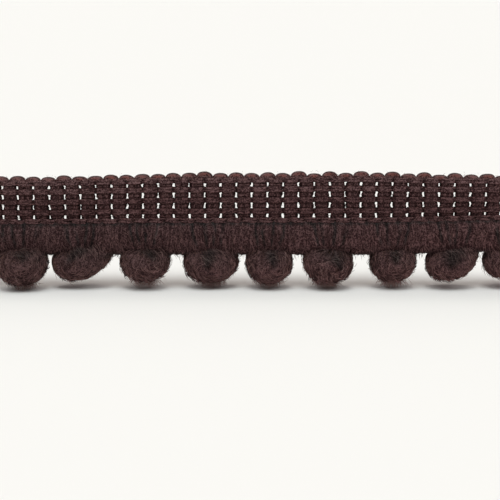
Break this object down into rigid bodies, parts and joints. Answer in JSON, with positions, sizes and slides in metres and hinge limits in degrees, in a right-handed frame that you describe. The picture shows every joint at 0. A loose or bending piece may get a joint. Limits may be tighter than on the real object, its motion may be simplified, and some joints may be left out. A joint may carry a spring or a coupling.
{
  "type": "pompom fringe trim",
  "caption": "Straight cut length of pompom fringe: an openwork gimp heading with a scalloped top edge, a brushed yarn skirt and a row of soft round bobbles that it stands on.",
  "frame": {"origin": "middle of the underside, on the surface that the bobbles stand on", "axes": "+X along the trim, +Z from the bobbles up to the scalloped edge, +Y out of the back of the heading, so that the face looks towards -Y"},
  "size_m": [0.141, 0.0124, 0.0253],
  "materials": {
    "heading_yarn": "matt dark brown bulked yarn in chain stitch",
    "skirt_yarn": "brushed dark brown yarn",
    "bobble_yarn": "brushed fuzzy dark brown yarn"
  },
  "bodies": {
    "root": {"heading": "heading_yarn", "skirt": "skirt_yarn", "bobble_01": "bobble_yarn", "bobble_02": "bobble_yarn", "bobble_03": "bobble_yarn", "bobble_04": "bobble_yarn", "bobble_05": "bobble_yarn", "bobble_06": "bobble_yarn", "bobble_07": "bobble_yarn", "bobble_08": "bobble_yarn", "bobble_09": "bobble_yarn", "bobble_10": "bobble_yarn", "bobble_11": "bobble_yarn"}
  },
  "joints": []
}
